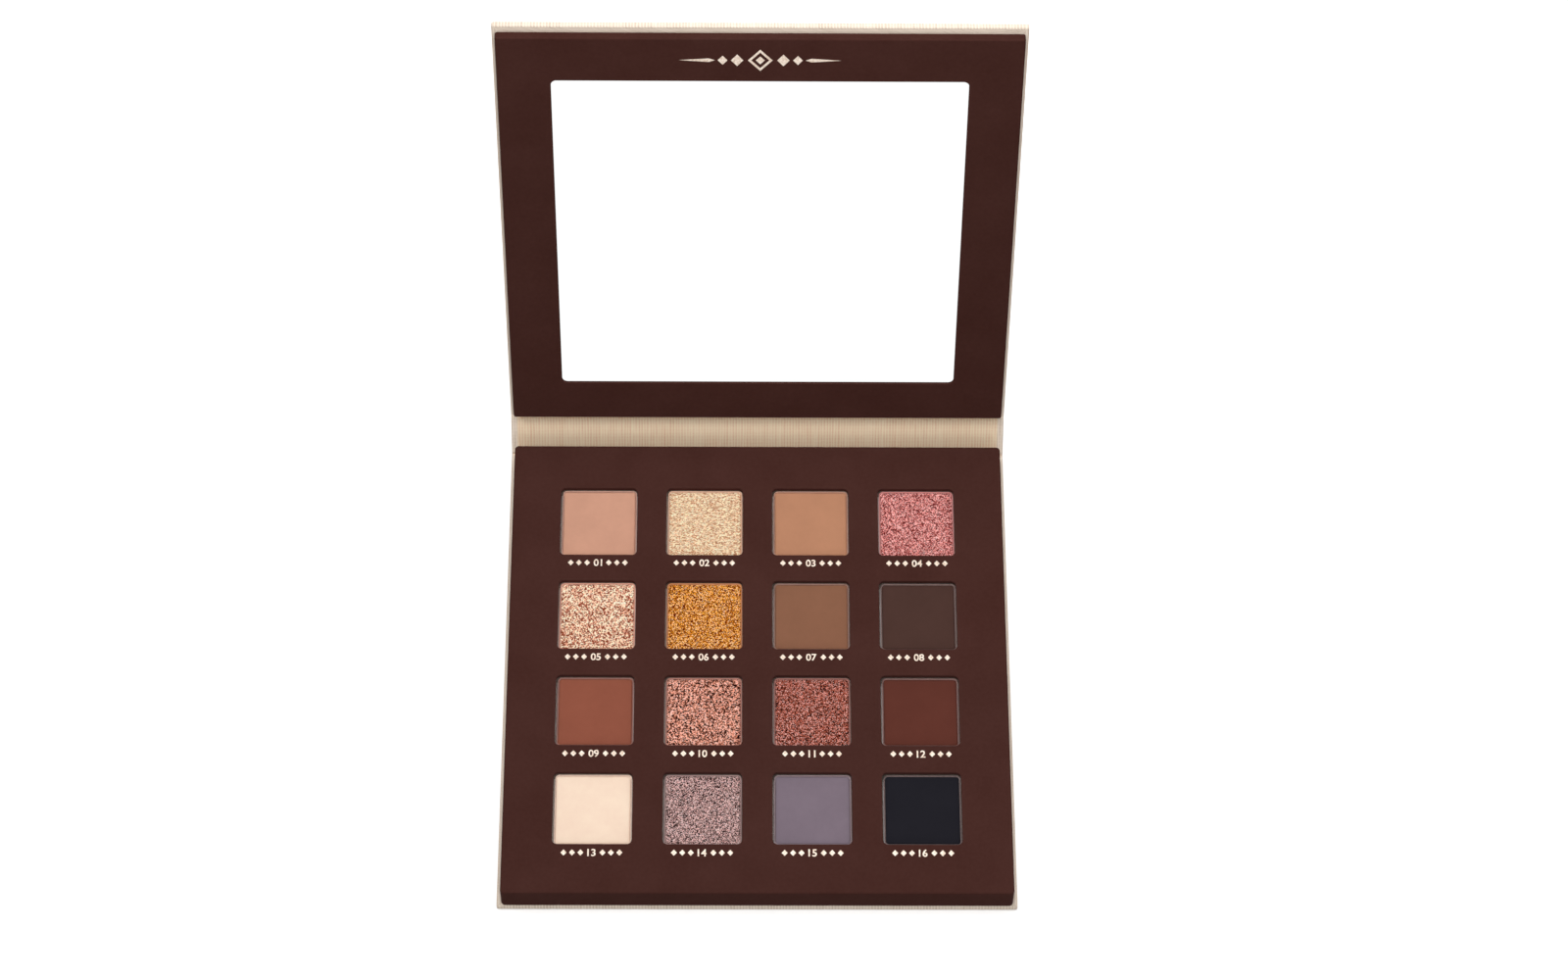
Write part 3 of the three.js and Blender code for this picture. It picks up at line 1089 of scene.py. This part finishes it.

# The shimmers, by number: the colour, how far the flakes' colours stray from it (which also sets the
# painted shade in the pits and the painted sparkle), their size, how patchy the colour is, the depth of
# the relief, and how much finer it runs in X and Y.
SHIMMERS = {
    "02": ((255, 203, 166), 0.66, 0.17, 0.0, 0.05, (0.45, 1.5)),
    "04": ((219, 122, 118), 1.1, 0.21, 0.25, 0.1, (1, 1)),
    "05": ((255, 178, 149), 1.05, 0.28, 0.7, 0.12, (1, 1)),
    "06": ((225, 133, 34), 1.12, 0.23, 0.15, 0.12, (1, 1)),
    "10": ((188, 119, 98), 1.35, 0.28, 0.3, 0.15, (1, 1)),
    "11": ((149, 74, 56), 1.15, 0.21, 0.15, 0.1, (1, 1)),
    "14": ((160, 129, 126), 1.2, 0.2, 0.1, 0.08, (1, 1)),
}


def build_pans():
    for number, middle, bottom, top in pan_places():
        if number in MATTES:
            powder_colour = colour(*MATTES[number])
            material = matte_powder(f"powder {number}", powder_colour)
            face = smooth_face
            depth = MATTE_DEPTH
        else:
            mean, contrast, flake, patchy, depth, stretch = SHIMMERS[number]
            powder_colour = colour(*mean)
            material = glitter_powder(
                f"powder {number}", mean, contrast, flake, patchy, (*stretch, 1)
            )
            face = partial(grainy_face, size=flake, stretch=stretch)
        build_pan(number, middle, bottom, top, powder_colour)
        build_powder(number, middle, face, depth, material)


# --- The foil print ---

CREAM_FOIL = foil("cream foil", colour(214, 184, 158), colour(255, 240, 224))


def text_solid(text, height):
    """The outlines of a few digits as a thin closed solid, centred on the origin."""
    curve = bpy.data.curves.new("digits", "FONT")
    curve.body = text
    curve.align_x = "CENTER"
    curve.size = 1
    curve.extrude = FOIL / 2
    curve.offset = 0.02  # makes the strokes bold
    writer = bpy.data.objects.new("digits", curve)
    bpy.context.scene.collection.objects.link(writer)
    mesh = bpy.data.meshes.new_from_object(
        writer.evaluated_get(bpy.context.evaluated_depsgraph_get())
    )
    points = np.array([vertex.co for vertex in mesh.vertices])
    faces = [tuple(polygon.vertices) for polygon in mesh.polygons]
    low, high = points.min(axis=0), points.max(axis=0)
    scale = height / (high[1] - low[1])
    points[:, :2] = (points[:, :2] - (low[:2] + high[:2]) / 2) * scale
    bpy.data.objects.remove(writer)
    bpy.data.curves.remove(curve)
    bpy.data.meshes.remove(mesh)
    return points, faces


def add_outline(solid, outline, height):
    """A thin plate of foil with the given outline on a face at the given height."""
    rings = [
        solid.ring([(x, y, height + lift) for x, y in outline]) for lift in (0, FOIL)
    ]
    solid.loft_capped(rings)


def lozenge(x, y, width, height):
    return [(x + width / 2, y), (x, y + height / 2), (x - width / 2, y), (x, y - height / 2)]


def build_numbers():
    """Under each window its number, between two short rows of lozenges."""
    top = node_box("tray_shell")[1].z
    solid = Solid()
    for number, pan_middle, _, _ in pan_places():
        middle = window_middle(pan_middle)
        points, faces = text_solid(number, NUMBER_HEIGHT)
        y = middle.y - WINDOW / 2 - NUMBER_DROP
        first = len(solid.points)
        solid.ring([(middle.x + px, y + py, top + FOIL / 2 + pz) for px, py, pz in points])
        solid.faces.extend(tuple(first + i for i in face) for face in faces)
        first_mark = points[:, 0].max() + MARK_GAP
        for side in (-1, 1):
            for i in range(MARKS_BESIDE_NUMBER):
                x = middle.x + side * (first_mark + i * MARK_PITCH)
                add_outline(solid, lozenge(x, y, *MARK_SIZE), top)
    add_piece("tray_numbers", solid, ROW, CREAM_FOIL, "base")


def build_ornament():
    """A ringed lozenge on the frame's far margin, between smaller ones and tapered lines."""
    low, high = node_box("lid_frame", LID_PANEL)
    y = high.y - FRAME_FAR_MARGIN / 2
    solid = Solid()
    rings = []
    for size in ORNAMENT_RING:
        for lift in (0, FOIL):
            rings.append(solid.ring([(*point, high.z + lift) for point in lozenge(0, y, *size)]))
    outer_low, outer_high, inner_low, inner_high = rings
    solid.loft([outer_low, outer_high, inner_high, inner_low, outer_low])
    add_outline(solid, lozenge(0, y, *ORNAMENT_CORE), high.z)
    for side in (-1, 1):
        for out, size in ORNAMENT_SIDES:
            add_outline(solid, lozenge(side * out, y, *size), high.z)
        add_outline(solid, [(side * px, y + py) for px, py in ORNAMENT_TAPER], high.z)
    add_piece("lid_ornament", solid, LID_PANEL, CREAM_FOIL, "lid")


# --- The lid ---


def build_frame():
    """The frame round the mirror, with a hollow for the mirror and pockets for the discs."""
    low, high = node_box("lid_frame", LID_PANEL)
    centre = (low + high) / 2
    size = high - low
    solid = Solid()
    outside = edge_rings(
        solid, centre, size, FRAME_CORNER_RADIUS, high.z, FRAME_EDGE_RADIUS, False
    )
    outside.append(solid.ring(inset_ring(centre, size, FRAME_CORNER_RADIUS, 0, low.z)))
    solid.loft(outside)
    window_size = (
        size.x - 2 * FRAME_SIDE_MARGIN,
        size.y - FRAME_FOLD_MARGIN - FRAME_FAR_MARGIN,
    )
    window_centre = (centre.x, low.y + FRAME_FOLD_MARGIN + window_size[1] / 2)
    window = edge_rings(
        solid, window_centre, window_size, MIRROR_WINDOW_RADIUS, high.z, WINDOW_EDGE_RADIUS, True
    )
    mirror_top = node_box("mirror", LID_PANEL)[1].z + MIRROR_GAP
    for outset, height in ((0, mirror_top), (MIRROR_STEP, mirror_top), (MIRROR_STEP, low.z)):
        ring = inset_ring(window_centre, window_size, MIRROR_WINDOW_RADIUS, -outset, height)
        window.append(solid.ring(ring))
    solid.loft(window)
    pockets = []
    for name in ("closure_disc_left", "closure_disc_right"):
        disc_low, disc_high = node_box(name, LID_PANEL)
        middle = (disc_low + disc_high) / 2
        radius = (disc_high.x - disc_low.x) / 2 + DISC_POCKET_GAP
        round_size = (2 * radius, 2 * radius)
        pocket = [
            solid.ring(rounded_ring(middle, round_size, radius - 1e-3, height))
            for height in (low.z, disc_high.z + DISC_POCKET_ROOM)
        ]
        solid.loft(pocket)
        solid.cap(pocket[1])
        pockets.append(pocket[0])
    solid.fill(outside[0], [window[0]])
    solid.fill(outside[-1], [window[-1], *pockets])
    add_piece("mirror_frame", solid, LID_PANEL, CARD, "lid", ["lid_frame"])


def finish_cad_nodes():
    """The CAD nodes that stay as they are get their own materials."""
    board = grey_board("grey board")
    magnet = metal("magnet", colour(150, 152, 158), 0.3, 0.25, 0.45)
    looks = {
        "base_board": board,
        "spine_board": board,
        "lid_board": board,
        "insert_grid": board,
        "pan_bed": foam("white foam"),
        "tray_magnet_left": magnet,
        "tray_magnet_right": magnet,
        "closure_disc_left": TINPLATE,
        "closure_disc_right": TINPLATE,
        "mirror": mirror_glass("mirror glass"),
        "mirror_adhesive": tape("tape"),
    }
    for name, material in looks.items():
        nodes[name].data.materials.clear()
        nodes[name].data.materials.append(material)


def clear_mirror():
    """The mirror shows the white studio only: nothing in front of it reflects."""
    for thing in bpy.context.scene.objects:
        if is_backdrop(thing) or (thing.type == "MESH" and body_of(thing) != ["lid"]):
            thing.visible_glossy = False


# --- The studio ---


def ground(name, depth, low, high, **surface):
    """A wide, faintly mottled plane so far below the palette's underside."""
    half = GROUND_HALF / MM
    corners = ((-half, -half), (half, -half), (half, half), (-half, half))
    solid = Solid()
    solid.cap(solid.ring([(x, y, -depth / MM) for x, y in corners]))
    mesh = mesh_of(name, solid)
    look = Look(name)
    tone = look.noise(look.place(), MOTTLE, 2.0)
    tint = look.ramp(tone, [(0.3, grey(low)), (0.7, grey(high))])
    mesh.materials.append(look.surface(Base_Color=tint, **surface))
    plane = bpy.data.objects.new(name, mesh)
    plane.visible_glossy = False
    bpy.context.scene.collection.objects.link(plane)
    plane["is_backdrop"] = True
    return plane


def build_floor():
    """A white floor. What shines back from it is as from a grey one, so that the palette's
    walls stay darker than its top, as they are between a studio's black flags."""
    floor = ground(
        "floor", FLOOR_DEPTH, 0.9, 0.92,
        Roughness=0.9,
        Specular_IOR_Level=0.1,
        Emission_Color=grey(1),
        Emission_Strength=FLOOR_GLOW,
    )
    floor.visible_diffuse = False
    floor.visible_shadow = False
    flag = ground("flag", FLAG_DEPTH, *FLAG_GREYS, Roughness=1.0, Specular_IOR_Level=0.0)
    flag.visible_camera = False


def softbox(name, place, target, size, power):
    """A square area light at one point that faces another."""
    light = bpy.data.lights.new(name, "AREA")
    light.shape = "SQUARE"
    light.size = size
    light.energy = power
    lamp = bpy.data.objects.new(name, light)
    lamp.location = place
    lamp.rotation_euler = (Vector(target) - Vector(place)).to_track_quat("-Z", "Y").to_euler()
    bpy.context.scene.collection.objects.link(lamp)


def studio_world():
    """Soft light from all over the sky. Below the horizon is what the mirror shows."""
    world = bpy.data.worlds.new("studio")
    world.use_nodes = True
    tree = world.node_tree
    background = tree.nodes["Background"]
    direction = tree.nodes.new("ShaderNodeTexCoord")
    split = tree.nodes.new("ShaderNodeSeparateXYZ")
    heights = tree.nodes.new("ShaderNodeValToRGB")
    tree.links.new(direction.outputs["Generated"], split.inputs["Vector"])
    upwards = tree.nodes.new("ShaderNodeMapRange")
    upwards.inputs["From Min"].default_value = -1
    tree.links.new(split.outputs["Z"], upwards.inputs["Value"])
    tree.links.new(upwards.outputs["Result"], heights.inputs["Fac"])
    set_stops(heights.color_ramp.elements, [(0.49, grey(MIRROR_WHITE)), (0.5, grey(SKY))])
    tree.links.new(heights.outputs["Color"], background.inputs["Color"])
    bpy.context.scene.world = world


def build_studio():
    build_floor()
    studio_world()
    for lamp in LAMPS:
        softbox(*lamp)
    bpy.context.scene.view_settings.view_transform = "Standard"


def build_camera():
    camera = bpy.data.cameras.new("camera")
    camera.lens = LENS
    camera.sensor_width = SENSOR_WIDTH
    holder = bpy.data.objects.new("camera", camera)
    holder.location = CAMERA_PLACE
    holder.rotation_euler = [math.radians(angle) for angle in CAMERA_TURN]
    bpy.context.scene.collection.objects.link(holder)
    bpy.context.scene.camera = holder


build_camera()
build_cover()
build_tray()
build_pans()
build_numbers()
build_frame()
build_ornament()
finish_cad_nodes()
build_studio()
clear_mirror()
